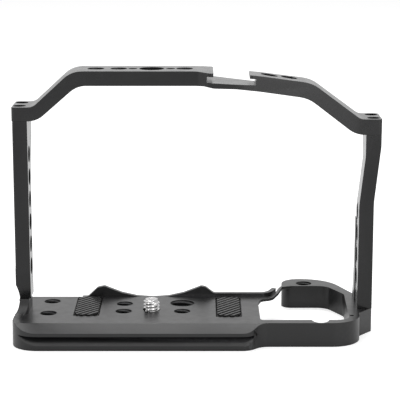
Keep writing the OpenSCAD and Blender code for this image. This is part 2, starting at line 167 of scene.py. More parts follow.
class MaterialGraph(NodeGraph):
    """Writes a node material on the object's own coordinates."""

    def __init__(self, name: str) -> None:
        """Starts an empty material.

        Args:
            name: Name of the material.
        """
        self.material = bpy.data.materials.new(name)
        super().__init__(self.material, "ShaderNodeOutputMaterial")

    def shader(self, metallic: float = 0.0) -> bpy.types.Node:
        """Adds the principled shader and joins it to the output.

        Args:
            metallic: Share of metal.

        Returns:
            The shader.
        """
        node = self.add("ShaderNodeBsdfPrincipled")
        node.inputs["Metallic"].default_value = metallic
        self.link(node.outputs["BSDF"], self.output.inputs["Surface"])
        return node

    def position(self) -> bpy.types.NodeSocket:
        """Returns the point's place in the object, in metres."""
        return self.add("ShaderNodeTexCoord").outputs["Object"]

    def noise(self, scale: float, detail: float = 2.0, roughness: float = 0.5,
              stretch: Point = (1.0, 1.0, 1.0)) -> bpy.types.NodeSocket:
        """Adds a noise texture on the object's own coordinates.

        Args:
            scale: Features per metre.
            detail: Octaves of the noise.
            roughness: Weight of the finer octaves.
            stretch: Factors on the coordinates, for a grain with a direction.

        Returns:
            The noise's factor.
        """
        mapping = self.add("ShaderNodeMapping")
        mapping.inputs["Scale"].default_value = stretch
        self.link(self.position(), mapping.inputs["Vector"])
        texture = self.add("ShaderNodeTexNoise")
        texture.inputs["Scale"].default_value = scale
        texture.inputs["Detail"].default_value = detail
        texture.inputs["Roughness"].default_value = roughness
        self.link(mapping.outputs["Vector"], texture.inputs["Vector"])
        return texture.outputs["Fac"]

    def spread(self, source: bpy.types.NodeSocket, low: float, high: float,
               start: float = 0.3, end: float = 0.7) -> bpy.types.NodeSocket:
        """Maps a factor to a range.

        Args:
            source: The factor.
            low: Value at start.
            high: Value at end.
            start: Factor that gives low.
            end: Factor that gives high.

        Returns:
            The mapped value, clamped to the range.
        """
        node = self.add("ShaderNodeMapRange", clamp=True)
        node.inputs["From Min"].default_value = start
        node.inputs["From Max"].default_value = end
        node.inputs["To Min"].default_value = low
        node.inputs["To Max"].default_value = high
        self.link(source, node.inputs["Value"])
        return node.outputs["Result"]

    def blend(self, factor: bpy.types.NodeSocket, dark: Colour,
              light: Colour) -> bpy.types.NodeSocket:
        """Mixes two colours by a factor.

        Args:
            factor: Share of the second colour.
            dark: Colour at 0.
            light: Colour at 1.

        Returns:
            The mixed colour.
        """
        node = self.add("ShaderNodeMix", data_type="RGBA")
        node.inputs["A"].default_value = (*dark, 1.0)
        node.inputs["B"].default_value = (*light, 1.0)
        self.link(factor, node.inputs["Factor"])
        return node.outputs["Result"]

    def bump(self, height: bpy.types.NodeSocket, distance: float,
             strength: float) -> bpy.types.NodeSocket:
        """Turns a height into a shading normal.

        Args:
            height: The height, from 0 to 1.
            distance: Real height of the relief, in metres.
            strength: How strongly it shows.

        Returns:
            The normal.
        """
        node = self.add("ShaderNodeBump")
        node.inputs["Distance"].default_value = distance
        node.inputs["Strength"].default_value = strength
        self.link(height, node.inputs["Height"])
        return node.outputs["Normal"]


# ------------------------------------------------------------------ finishes


@dataclass(frozen=True)
class AnodisedFinish:
    """Bead-blasted aluminium with a black anodised skin."""

    name: str
    smooth: float
    rough: float
    ior: float = 1.47
    dark: Colour = (0.0062, 0.0062, 0.0066)
    light: Colour = (0.0098, 0.0099, 0.0105)
    # Paler colour of convex edges: partly worn anodise, partly a painted edge highlight.
    edge_highlight_and_wear: Colour = (0.055, 0.055, 0.058)

    def build(self) -> bpy.types.Material:
        """Builds the material.

        Returns:
            Black with a cloudy tone, fine blasted grain and paler edges, which are partly scuffed
            wear and partly a painted highlight along convex edges.
        """
        graph = MaterialGraph(self.name)
        shader = graph.shader()
        cloud = graph.noise(scale=90.0, detail=3.0)
        tone = graph.blend(graph.spread(cloud, 0.0, 1.0), self.dark, self.light)
        # Paler colour on convex edges, patchy with scuff noise: partly edge wear, partly a
        # painted highlight along the edges.
        edge = graph.add("ShaderNodeNewGeometry").outputs["Pointiness"]
        scuff = graph.noise(scale=700.0, detail=4.0, roughness=0.7)
        edge_highlight_and_wear_mask = graph.value("MULTIPLY", graph.spread(edge, 0.0, 0.8, start=0.53, end=0.62),
                           graph.spread(scuff, 0.35, 1.0, start=0.35, end=0.65))
        mix = graph.add("ShaderNodeMix", data_type="RGBA")
        graph.link(edge_highlight_and_wear_mask, mix.inputs["Factor"])
        graph.link(tone, mix.inputs["A"])
        mix.inputs["B"].default_value = (*self.edge_highlight_and_wear, 1.0)
        graph.link(mix.outputs["Result"], shader.inputs["Base Color"])
        haze = graph.noise(scale=260.0, detail=3.0)
        graph.link(graph.spread(haze, self.smooth, self.rough), shader.inputs["Roughness"])
        grain = graph.noise(scale=5200.0, detail=2.0, roughness=0.6)
        graph.link(graph.bump(grain, 0.02 * MM, 0.35), shader.inputs["Normal"])
        shader.inputs["IOR"].default_value = self.ior
        return graph.material


@dataclass(frozen=True)
class TurnedSteelFinish:
    """Bright metal with fine turning marks round the Z axis."""

    name: str
    dark: Colour = (0.42, 0.42, 0.43)
    light: Colour = (0.72, 0.71, 0.70)
    smooth: float = 0.14
    rough: float = 0.26
    rings: float = 5000.0

    def build(self) -> bpy.types.Material:
        """Builds the material.

        Returns:
            Metal whose relief runs in rings about the piece's own axis.
        """
        graph = MaterialGraph(self.name)
        shader = graph.shader(metallic=1.0)
        axis = graph.add("ShaderNodeVectorMath", operation="MULTIPLY")
        axis.inputs[1].default_value = (1.0, 1.0, 0.0)
        graph.link(graph.position(), axis.inputs[0])
        radius = graph.add("ShaderNodeVectorMath", operation="LENGTH")
        graph.link(axis.outputs["Vector"], radius.inputs[0])
        turn = graph.value("MULTIPLY", radius.outputs["Value"], self.rings * 2.0 * math.pi)
        ring = graph.spread(graph.value("SINE", turn), 0.0, 1.0, start=-1.0, end=1.0)
        tone = graph.spread(graph.noise(scale=900.0, detail=3.0), 0.0, 1.0)
        graph.link(graph.blend(tone, self.dark, self.light), shader.inputs["Base Color"])
        haze = graph.noise(scale=2500.0, detail=2.0)
        graph.link(graph.spread(haze, self.smooth, self.rough), shader.inputs["Roughness"])
        graph.link(graph.bump(ring, 0.004 * MM, 0.4), shader.inputs["Normal"])
        return graph.material


@dataclass(frozen=True)
class GroundSteelFinish:
    """Bright ground steel with fine marks round the Z axis."""

    name: str
    dark: Colour = (0.45, 0.45, 0.46)
    light: Colour = (0.66, 0.66, 0.66)
    smooth: float = 0.18
    rough: float = 0.32

    def build(self) -> bpy.types.Material:
        """Builds the material.

        Returns:
            Metal mottled and scored round the pin.
        """
        graph = MaterialGraph(self.name)
        shader = graph.shader(metallic=1.0)
        marks = graph.noise(scale=900.0, detail=2.0, stretch=(1.0, 1.0, 18.0))
        tone = graph.spread(marks, 0.0, 1.0)
        graph.link(graph.blend(tone, self.dark, self.light), shader.inputs["Base Color"])
        graph.link(graph.spread(marks, self.smooth, self.rough), shader.inputs["Roughness"])
        graph.link(graph.bump(marks, 0.004 * MM, 0.4), shader.inputs["Normal"])
        return graph.material


@dataclass(frozen=True)
class BlackSteelFinish:
    """Steel with a thin black oxide or phosphate skin."""

    name: str
    dark: Colour = (0.016, 0.016, 0.017)
    light: Colour = (0.05, 0.049, 0.05)
    smooth: float = 0.28
    rough: float = 0.45
    metal: float = 0.6

    def build(self) -> bpy.types.Material:
        """Builds the material.

        Returns:
            Near-black metal, mottled and slightly oily.
        """
        graph = MaterialGraph(self.name)
        shader = graph.shader(metallic=self.metal)
        mottle = graph.noise(scale=1500.0, detail=4.0, roughness=0.6)
        tone = graph.spread(mottle, 0.0, 1.0)
        graph.link(graph.blend(tone, self.dark, self.light), shader.inputs["Base Color"])
        haze = graph.noise(scale=700.0, detail=2.0)
        graph.link(graph.spread(haze, self.smooth, self.rough), shader.inputs["Roughness"])
        grain = graph.noise(scale=6000.0, detail=2.0)
        graph.link(graph.bump(grain, 0.01 * MM, 0.4), shader.inputs["Normal"])
        return graph.material


@dataclass(frozen=True)
class RubberFinish:
    """Moulded black rubber, with a painted highlight on the tops of its ridges."""

    name: str
    dark: Colour = (0.004, 0.004, 0.004)
    # Colour of the ridge tops: a painted highlight.
    lit_ridge_colour: Colour = (0.020, 0.020, 0.0205)
    smooth: float = 0.24
    rough: float = 0.34
    ior: float = 1.34
    top: float = 0.5 * MM
    lit_ridge_depth: float = 0.3 * MM

    def build(self) -> bpy.types.Material:
        """Builds the material.

        Returns:
            Satin black with a painted highlight on the ridge tops and a fine pebbled skin.
        """
        graph = MaterialGraph(self.name)
        shader = graph.shader()
        height = graph.add("ShaderNodeSeparateXYZ")
        graph.link(graph.position(), height.inputs["Vector"])
        # Paler colour on the ridge tops, mottled by noise: a painted highlight where the tops
        # catch light at grazing angles.
        ridge_top_mask = graph.spread(height.outputs["Z"], 0.0, 1.0, self.top - self.lit_ridge_depth, self.top)
        cloud = graph.noise(scale=800.0, detail=4.0, roughness=0.6)
        painted_ridge_highlight = graph.value("MULTIPLY", ridge_top_mask, graph.spread(cloud, 0.3, 1.0))
        graph.link(graph.blend(painted_ridge_highlight, self.dark, self.lit_ridge_colour), shader.inputs["Base Color"])
        haze = graph.noise(scale=500.0, detail=2.0)
        graph.link(graph.spread(haze, self.smooth, self.rough), shader.inputs["Roughness"])
        pebble = graph.noise(scale=7000.0, detail=2.0)
        graph.link(graph.bump(pebble, 0.01 * MM, 0.4), shader.inputs["Normal"])
        shader.inputs["IOR"].default_value = self.ior
        return graph.material


@dataclass(frozen=True)
class FloorFinish:
    """Pale studio floor that keeps a soft shadow."""

    name: str
    colour: Colour = (0.80, 0.80, 0.80)
    pale: Colour = (0.808, 0.808, 0.808)
    seen_lift: float = 0.55
    mirrored_lift: float = 0.25

    def build(self) -> bpy.types.Material:
        """Builds the material.

        Returns:
            A matte pale floor, lifted to white where the camera sees it lit.
        """
        graph = MaterialGraph(self.name)
        shader = graph.add("ShaderNodeBsdfDiffuse")
        grain = graph.spread(graph.noise(scale=40.0, detail=2.0), 0.0, 1.0)
        graph.link(graph.blend(grain, self.colour, self.pale), shader.inputs["Color"])
        rays = graph.add("ShaderNodeLightPath").outputs
        mirrored = graph.value("MAXIMUM", rays["Is Glossy Ray"], rays["Is Transmission Ray"])
        lift = graph.value("MAXIMUM",
                           graph.value("MULTIPLY", rays["Is Camera Ray"], self.seen_lift),
                           graph.value("MULTIPLY", mirrored, self.mirrored_lift))
        glow = graph.add("ShaderNodeEmission")
        graph.link(lift, glow.inputs["Strength"])
        total = graph.add("ShaderNodeAddShader")
        graph.link(shader.outputs["BSDF"], total.inputs[0])
        graph.link(glow.outputs["Emission"], total.inputs[1])
        graph.link(total.outputs["Shader"], graph.output.inputs["Surface"])
        return graph.material


# --------------------------------------------------------------- mesh helpers


class Keep(Enum):
    """Part of a piece that stays when a tool body shapes it."""

    OUTSIDE = "DIFFERENCE"
    INSIDE = "INTERSECT"


def make_object(name: str, mesh: bpy.types.Mesh) -> bpy.types.Object:
    """Puts a mesh into the scene at the origin.

    Args:
        name: Name of the object.
        mesh: Its mesh, already in place.

    Returns:
        The new object.
    """
    obj = bpy.data.objects.new(name, mesh)
    bpy.context.scene.collection.objects.link(obj)
    return obj


def from_bmesh(name: str, work: bmesh.types.BMesh, sharp_deg: float = 32.0) -> bpy.types.Object:
    """Turns a bmesh into an object with smooth faces and sharp edges.

    Args:
        name: Name of the object.
        work: The bmesh, which is freed.
        sharp_deg: Edges that turn more than this stay sharp.

    Returns:
        The new object.
    """
    bmesh.ops.recalc_face_normals(work, faces=work.faces)
    limit = math.radians(sharp_deg)
    for face in work.faces:
        face.smooth = True
    for edge in work.edges:
        if len(edge.link_faces) == 2:
            edge.smooth = edge.calc_face_angle(0.0) < limit
    mesh = bpy.data.meshes.new(name)
    work.to_mesh(mesh)
    work.free()
    return make_object(name, mesh)


def bake_modifiers(obj: bpy.types.Object) -> None:
    """Writes the result of an object's modifiers into its mesh.

    Args:
        obj: The object, which keeps no modifier.
    """
    bpy.context.view_layer.update()
    graph = bpy.context.evaluated_depsgraph_get()
    mesh = bpy.data.meshes.new_from_object(obj.evaluated_get(graph))
    obj.modifiers.clear()
    obj.data = mesh


def weigh_normals(obj: bpy.types.Object) -> None:
    """Lets large flat faces keep their own direction beside narrow broken edges.

    Args:
        obj: The object, which gets the new normals.
    """
    weigh = obj.modifiers.new("weigh", "WEIGHTED_NORMAL")
    weigh.keep_sharp = True
    weigh.weight = 100
    bake_modifiers(obj)


def to_bmesh(obj: bpy.types.Object) -> bmesh.types.BMesh:
    """Takes an object out of the scene and goes on with its mesh.

    Args:
        obj: The object, which is removed.

    Returns:
        Its mesh as a bmesh.
    """
    work = bmesh.new()
    work.from_mesh(obj.data)
    bpy.data.objects.remove(obj)
    return work


def shape_with(piece: bpy.types.Object, tool: bpy.types.Object, keep: Keep) -> None:
    """Shapes a piece with a tool body.

    Args:
        piece: The piece, which is changed.
        tool: The tool body, which is removed.
        keep: The part of the piece that stays.
    """
    cut = piece.modifiers.new("cut", "BOOLEAN")
    cut.operation = keep.value
    cut.solver = "EXACT"
    cut.object = tool
    bake_modifiers(piece)
    bpy.data.objects.remove(tool)


def skin(work: bmesh.types.BMesh, rings: list[list[Vector]], loop: bool = False) -> None:
    """Skins closed rings of points, one after the other.

    Args:
        work: The bmesh that takes the faces.
        rings: Rings with the same number of points.
        loop: Joins the last ring to the first, and otherwise both ends get a cap.
    """
    rows = [[work.verts.new(point) for point in ring] for ring in rings]
    count = len(rows[0])
    pairs = list(zip(rows, rows[1:] + rows[:1])) if loop else list(zip(rows, rows[1:]))
    for low, high in pairs:
        for i in range(count):
            j = (i + 1) % count
            work.faces.new((low[i], low[j], high[j], high[i]))
    if not loop:
        work.faces.new(list(reversed(rows[0])))
        work.faces.new(rows[-1])


def placed(origin: Vector, axis: Vector) -> Matrix:
    """Returns the matrix that lays the local Z axis along an axis through a point."""
    turn = axis.to_track_quat("Z", "Y").to_matrix().to_4x4()
    return Matrix.Translation(origin) @ turn


def revolve(work: bmesh.types.BMesh, profile: list[tuple[Radius, float]], place: Matrix,
            count: int = 64, loop: bool = False) -> None:
    """Turns a profile about the local Z axis.

    Args:
        work: The bmesh that takes the faces.
        profile: Pairs of a radius, which may depend on the angle, and a height.
        place: Where the local axis lies.
        count: Number of steps in a turn.
        loop: The profile is closed, as on a ring.
    """
    angles = [2.0 * math.pi * i / count for i in range(count)]
    rings = []
    for radius, height in profile:
        spans = [radius(a) if callable(radius) else radius for a in angles]
        rings.append([place @ Vector((r * math.cos(a), r * math.sin(a), height))
                      for r, a in zip(spans, angles)])
    skin(work, rings, loop)


def hexagon(across_flats: float) -> Callable[[float], float]:
    """Describes a hexagon by its radius at each angle.

    Args:
        across_flats: Width between two flats.

    Returns:
        The radius as a function of the angle.
    """
    def radius(angle: float) -> float:
        """Distance from the middle to the flat at this angle."""
        turn = math.pi / 3.0
        return across_flats / 2.0 / math.cos((angle + turn / 2.0) % turn - turn / 2.0)
    return radius


def knurl(outer: float, depth: float, teeth: int) -> Callable[[float], float]:
    """Describes a straight knurl by its radius at each angle.

    Args:
        outer: Radius over the teeth.
        depth: Depth of the grooves.
        teeth: Number of teeth in a turn.

    Returns:
        The radius as a function of the angle.
    """
    def radius(angle: float) -> float:
        """Distance from the middle to the knurl at this angle."""
        return outer - depth * (0.5 - 0.5 * math.cos(angle * teeth))
    return radius


def welded_copy(node: bpy.types.Object) -> bmesh.types.BMesh:
    """Copies a node's mesh with its split corners joined and its flat faces whole.

    Args:
        node: The CAD node.

    Returns:
        A closed bmesh.
    """
    work = bmesh.new()
    work.from_mesh(node.data)
    bmesh.ops.remove_doubles(work, verts=work.verts, dist=WELD)
    bmesh.ops.dissolve_limit(work, angle_limit=math.radians(FLAT_DEG), verts=work.verts,
                             edges=work.edges)
    return work


def bevel(work: bmesh.types.BMesh, edges: list[bmesh.types.BMEdge], width: float,
          segments: int) -> None:
    """Bevels edges by an even width along both faces.

    Args:
        work: The piece.
        edges: The edges.
        width: Width along each face, in metres.
        segments: 1 gives a chamfer, more give a round.
    """
    bmesh.ops.bevel(work, geom=edges, offset=width, offset_type="OFFSET", segments=segments,
                    profile=0.6, affect="EDGES", clamp_overlap=False,
                    miter_outer="SHARP", miter_inner="SHARP")


def sharp_edges(work: bmesh.types.BMesh, limit_deg: float) -> list[bmesh.types.BMEdge]:
    """Returns the edges whose faces turn by more than an angle."""
    limit = math.radians(limit_deg)
    return [edge for edge in work.edges
            if len(edge.link_faces) == 2 and edge.calc_face_angle(0.0) > limit]


def rim_edges(sharp: list[bmesh.types.BMEdge], mount: dict) -> list[bmesh.types.BMEdge]:
    """Finds the edges round both mouths of a hole.

    Args:
        sharp: Sharp edges of the welded piece.
        mount: The hole's mount in the record.

    Returns:
        The sharp edges whose ends both lie on the hole's wall.
    """
    centre, axis = Vector(mount["pos_m"]), Vector(mount["axis"])
    radius = mount["dims"]["r_mm"] * MM
    reach = 2.0 * mount["dims"]["length_mm"] * MM
    tolerance = 0.05 * MM

    def on_wall(point: Vector) -> bool:
        """Says whether a point lies on the hole's wall."""
        along = (point - centre).dot(axis)
        across = (point - centre - along * axis).length
        return abs(across - radius) < tolerance and abs(along) < reach

    return [edge for edge in sharp if all(on_wall(vert.co) for vert in edge.verts)]


def holes_of(frame: dict, prefixes: tuple[str, ...], kinds: tuple[str, ...]) -> list[dict]:
    """Returns the mounts of some kinds whose names start with one of the prefixes."""
    return [mount for mount in frame["record"]["mounts"]
            if mount["kind"] in kinds and mount["name"].startswith(prefixes)]


def dress(obj: bpy.types.Object, material: bpy.types.Material) -> None:
    """Gives an object one material."""
    obj.data.materials.clear()
    obj.data.materials.append(material)


# -------------------------------------------------------------------- threads


@dataclass(frozen=True)
class ThreadForm:
    """Ridge of a standard screw thread."""

    pitch: float
    depth: float
    crest: float
    root: float
    sink: float = 0.06 * MM
    run_out_deg: float = 60.0
    start_deg: float = 0.0
    rounding: float = 0.12
    crown: float = 0.3
    end_height: float = 0.04
    end_width: float = 0.4

    def ridge(self, work: bmesh.types.BMesh, place: Matrix, base: float, outward: bool,
              low: float, high: float, steps: int = 32, cone: float | None = None) -> None:
        """Winds one ridge that fades at both ends.

        Args:
            work: The bmesh that takes the faces.
            place: Where the local axis lies.
            base: Radius of the wall or core that carries the ridge.
            outward: The ridge stands on a core, and otherwise in a hole.
            low: Lowest height of the ridge.
            high: Highest height of the ridge.
            steps: Steps in a turn.
            cone: Height from which a 45 degree cone trims the crest.
        """
        side = 1.0 if outward else -1.0
        centre_low = low + self.root / 2.0
        turns = (high - low - self.root) / self.pitch
        count = max(4, round(turns * steps))
        fade = math.radians(self.run_out_deg)
        total = turns * 2.0 * math.pi
        rings = []
        for i in range(count + 1):
            angle = total * i / count
            share = max(self.end_height, min(1.0, angle / fade, (total - angle) / fade))
            height = centre_low + self.pitch * angle / (2.0 * math.pi)
            crest = base + side * self.depth * share
            if cone is not None:
                crest = min(crest, base + self.depth - max(0.0, height - cone))
            foot = base - side * self.sink
            root = self.root / 2.0 * (self.end_width + (1.0 - self.end_width) * share)
            tip = self.crest / 2.0
            shoulder = base + (crest - base) * (1.0 - self.rounding)
            wide = tip + (root - tip) * self.rounding
            flat = tip * self.crown
            section = ((foot, -root), (shoulder, -wide), (crest, -flat), (crest, flat),
                       (shoulder, wide), (foot, root))
            rings.append([place @ Vector((r * math.cos(angle), r * math.sin(angle), height + h))
                          for r, h in section])
        skin(work, rings)


QUARTER = ThreadForm(pitch=1.27 * MM, depth=0.60 * MM, crest=0.30 * MM, root=1.06 * MM)
THREE_EIGHTHS = ThreadForm(pitch=1.5875 * MM, depth=0.76 * MM, crest=0.38 * MM, root=1.34 * MM,
                           start_deg=180.0)
CORNER = ThreadForm(pitch=0.45 * MM, depth=0.19 * MM, crest=0.07 * MM, root=0.36 * MM,
                    sink=0.03 * MM)


@dataclass
class ThreadedHoles:
    """The threads cut in the holes of one plate."""

    node: str
    slot: Slot
    holes: tuple[str, ...]
    mouth: float = 0.12 * MM
    quarter_limit: float = 4.0 * MM

    def build(self, frame: dict, material: bpy.types.Material) -> bpy.types.Object:
        """Winds a thread in every threaded hole of the plate.

        Args:
            material: Finish of the threads.

        Returns:
            The threads as one piece.
        """
        solid = welded_copy(frame["nodes"][self.node])
        sharp = sharp_edges(solid, RIM_DEG)
        work = bmesh.new()
        mounts = holes_of(frame, self.holes, ("threaded_hole",))
        for mount in mounts:
            centre, inward = Vector(mount["pos_m"]), -Vector(mount["axis"])
            depths = [(vert.co - centre).dot(inward) for edge in rim_edges(sharp, mount)
                      for vert in edge.verts]
            radius = mount["dims"]["r_mm"] * MM
            form = QUARTER if radius < self.quarter_limit else THREE_EIGHTHS
            start = Matrix.Rotation(math.radians(form.start_deg), 4, "Z")
            form.ridge(work, placed(centre, inward) @ start, radius, False,
                       min(depths) + self.mouth, max(depths) - self.mouth)
        solid.free()
        piece = from_bmesh(self.node + "_threads", work)
        dress(piece, material)
        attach(piece, Body.CAGE.value)
        LOG.info("%s: %d threaded holes", piece.name, len(mounts))
        return piece


# -------------------------------------------------------------- sub-assemblies


@dataclass(frozen=True)
class EdgeRule:
    """Edges of a box of space that get a break of their own, in millimetres."""

    low: Point
    high: Point
    width: float
    segments: int = 4
    limit_deg: float = 20.0

    def bevel(self, work: bmesh.types.BMesh) -> None:
        """Bevels the sharp edges whose ends both lie in the box."""
        inside = [edge for edge in sharp_edges(work, self.limit_deg)
                  if all(low <= c / MM <= high for vert in edge.verts
                         for c, low, high in zip(vert.co, self.low, self.high))]
        bevel(work, inside, self.width * MM, self.segments)


@dataclass(frozen=True)
class Relief:
    """Shallow pocket milled across a near face, its floor rising in a curve."""

    x_range: tuple[float, float]
    face_y: float
    low_z: float
    height: float
    depth: float
    steps: int = 10
    overrun: float = 2.0

    def cut(self, work: bmesh.types.BMesh) -> bmesh.types.BMesh:
        """Mills the pocket; all sizes are in millimetres.

        Args:
            work: The piece, which is freed.

        Returns:
            The milled piece.
        """
        section = [(self.face_y - self.overrun, self.low_z - self.overrun),
                   (self.face_y + self.depth, self.low_z - self.overrun)]
        for i in range(self.steps + 1):
            share = i / self.steps
            section.append((self.face_y + self.depth * (1.0 - share) ** 2,
                            self.low_z + self.height * share))
        section.append((self.face_y - self.overrun, self.low_z + self.height))
        cutter = bmesh.new()
        skin(cutter, [[Vector((x, y, z)) * MM for y, z in section] for x in self.x_range])
        piece = from_bmesh("relief_piece", work)
        shape_with(piece, from_bmesh("relief_cutter", cutter), Keep.OUTSIDE)
        return to_bmesh(piece)


@dataclass
class MachinedPiece:
    """A machined node of the cage, with broken edges and countersunk holes."""

    node: str
    slot: Slot
    holes: tuple[str, ...]
    rules: tuple[EdgeRule, ...] = ()
    relief: Relief | None = None
    edge: float = 0.13 * MM
    edge_segments: int = 2
    countersink: float = 0.10 * MM
    limit_deg: float = 20.0
    shading_deg: float = 50.0

    def build(self, frame: dict, material: bpy.types.Material) -> bpy.types.Object:
        """Builds the piece that stands for the node.

        Args:
            material: Finish of the piece.

        Returns:
            The finished piece.
        """
        work = welded_copy(frame["nodes"][self.node])
        if self.relief is not None:
            work = self.relief.cut(work)
        sharp = sharp_edges(work, RIM_DEG)
        rims = [edge for mount in holes_of(frame, self.holes, ("threaded_hole", "bore"))
                for edge in rim_edges(sharp, mount)]
        bevel(work, rims, self.countersink, 1)
        for rule in self.rules:
            rule.bevel(work)
        bevel(work, sharp_edges(work, self.limit_deg), self.edge, self.edge_segments)
        low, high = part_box(self.node)
        for vert in work.verts:
            vert.co = [min(max(c, a), b) for c, a, b in zip(vert.co, low, high)]
        piece = from_bmesh(self.node + "_machined", work, self.shading_deg)
        weigh_normals(piece)
        dress(piece, material)
        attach(piece, Body.CAGE.value)
        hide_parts(self.node)
        LOG.info("%s: %d faces", piece.name, len(piece.data.polygons))
        return piece


@dataclass
class CaptiveScrew:
    """The camera screw with its neck, thread and slotted head."""

    core: float = 2.42 * MM
    crest: float = 3.15 * MM
    crest_width: float = 0.14 * MM
    root_width: float = 0.86 * MM
    tip: float = 4.3 * MM
    tip_inset: float = 0.1 * MM
    tip_fall: float = 0.12 * MM
    dimple: float = 1.25 * MM
    dimple_floor: float = 1.05 * MM
    dimple_depth: float = 0.1 * MM
    hub: float = 0.3 * MM
    thread_low: float = -0.9 * MM
    thread_gap: float = 0.05 * MM
    chamfer: float = 0.7 * MM
    neck: float = 2.5 * MM
    neck_taper: float = 0.1 * MM
    fillet: float = 0.12 * MM
    head: float = 5.8 * MM
    head_low: float = -4.8 * MM
    head_high: float = -3.0 * MM
    face_inset: float = 0.45 * MM
    face_rise: float = 0.3 * MM
    shoulder_inset: float = 0.2 * MM
    shoulder_rise: float = 0.12 * MM
    rim_break: float = 0.25 * MM
    slot_width: float = 1.6 * MM
    slot_depth: float = 1.0 * MM
    slot_flare: float = 0.12 * MM
    overrun: float = 1.0 * MM
    teeth: int = 60
    knurl_depth: float = 0.14 * MM
    steps_per_tooth: int = 4
    steps_per_turn: int = 64
    start_deg: float = 173.0
    shading_deg: float = 40.0

    def body_profile(self) -> list[tuple[Radius, float]]:
        """Draws the turned outline from the head's underside to the tip.

        Returns:
            Pairs of a radius and a height.
        """
        rim = knurl(self.head, self.knurl_depth, self.teeth)
        low, high, tip = self.head_low, self.head_high, self.tip
        dimple_z = tip - self.dimple_depth
        return [
            (self.head - self.face_inset, low),
            (self.head - self.shoulder_inset, low + self.shoulder_rise),
            (rim, low + self.face_rise), (rim, high - self.rim_break),
            (self.head - self.rim_break, high), (self.neck + self.fillet, high),
            (self.neck, high + self.fillet), (self.neck, self.thread_low - self.neck_taper),
            (self.core, self.thread_low),
            (self.core, tip - self.tip_fall), (self.core - self.tip_inset, tip),
            (self.dimple, tip), (self.dimple_floor, dimple_z), (self.hub, dimple_z)]

    def cut_slot(self, body: bpy.types.Object) -> None:
        """Cuts the driver slot across the head.

        Args:
            body: The turned body, which is changed.
        """
        half, flare = self.slot_width / 2.0, self.slot_flare
        low, face = self.head_low - self.overrun, self.head_low
        top, reach = self.head_low + self.slot_depth, 2.0 * self.head
        section = [(-half - flare - self.overrun, low), (half + flare + self.overrun, low),
                   (half + flare, face), (half, face + flare), (half, top),
                   (-half, top), (-half, face + flare), (-half - flare, face)]
        work = bmesh.new()
        skin(work, [[Vector((x, y, z)) for y, z in section] for x in (-reach, reach)])
        shape_with(body, from_bmesh("slot_cutter", work), Keep.OUTSIDE)

    def build(self, material: bpy.types.Material) -> bpy.types.Object:
        """Turns the screw and winds its thread.

        Args:
            material: Finish of the screw.

        Returns:
            The screw as one piece.
        """
        turned = bmesh.new()
        revolve(turned, self.body_profile(), Matrix.Identity(4),
                count=self.steps_per_tooth * self.teeth)
        body = from_bmesh("captive_screw_blank", turned)
        self.cut_slot(body)
        work = to_bmesh(body)
        form = ThreadForm(QUARTER.pitch, self.crest - self.core, self.crest_width,
                          self.root_width)
        start = Matrix.Rotation(math.radians(self.start_deg), 4, "Z")
        form.ridge(work, start, self.core, True, self.thread_low, self.tip - self.thread_gap,
                   self.steps_per_turn, cone=self.tip - self.chamfer)
        piece = from_bmesh("captive_screw_turned", work, self.shading_deg)
        dress(piece, material)
        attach(piece, Body.SCREW.value)
        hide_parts("camera_screw")
        LOG.info("%s: %d faces", piece.name, len(piece.data.polygons))
        return piece


@dataclass
class ThrustWasher:
    """Thin steel washer over the screw's head."""

    node: str = "screw_washer"
    bore: float = 2.6 * MM
    edge: float = 0.08 * MM
    steps: int = 96

    def build(self, material: bpy.types.Material) -> bpy.types.Object:
        """Turns the washer.

        Args:
            material: Finish of the washer.

        Returns:
            The washer.
        """
        low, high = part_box(self.node)
        outer = (high.x - low.x) / 2.0
        profile = [
            (self.bore + self.edge, low.z), (outer - self.edge, low.z),
            (outer, low.z + self.edge), (outer, high.z - self.edge),
            (outer - self.edge, high.z), (self.bore + self.edge, high.z),
            (self.bore, high.z - self.edge), (self.bore, low.z + self.edge)]
        work = bmesh.new()
        revolve(work, profile, Matrix.Identity(4), self.steps, loop=True)
        piece = from_bmesh("thrust_washer_ring", work)
        dress(piece, material)
        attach(piece, Body.WASHER.value)
        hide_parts(self.node)
        LOG.info("%s: %.1f mm across", piece.name, 2.0 * outer / MM)
        return piece


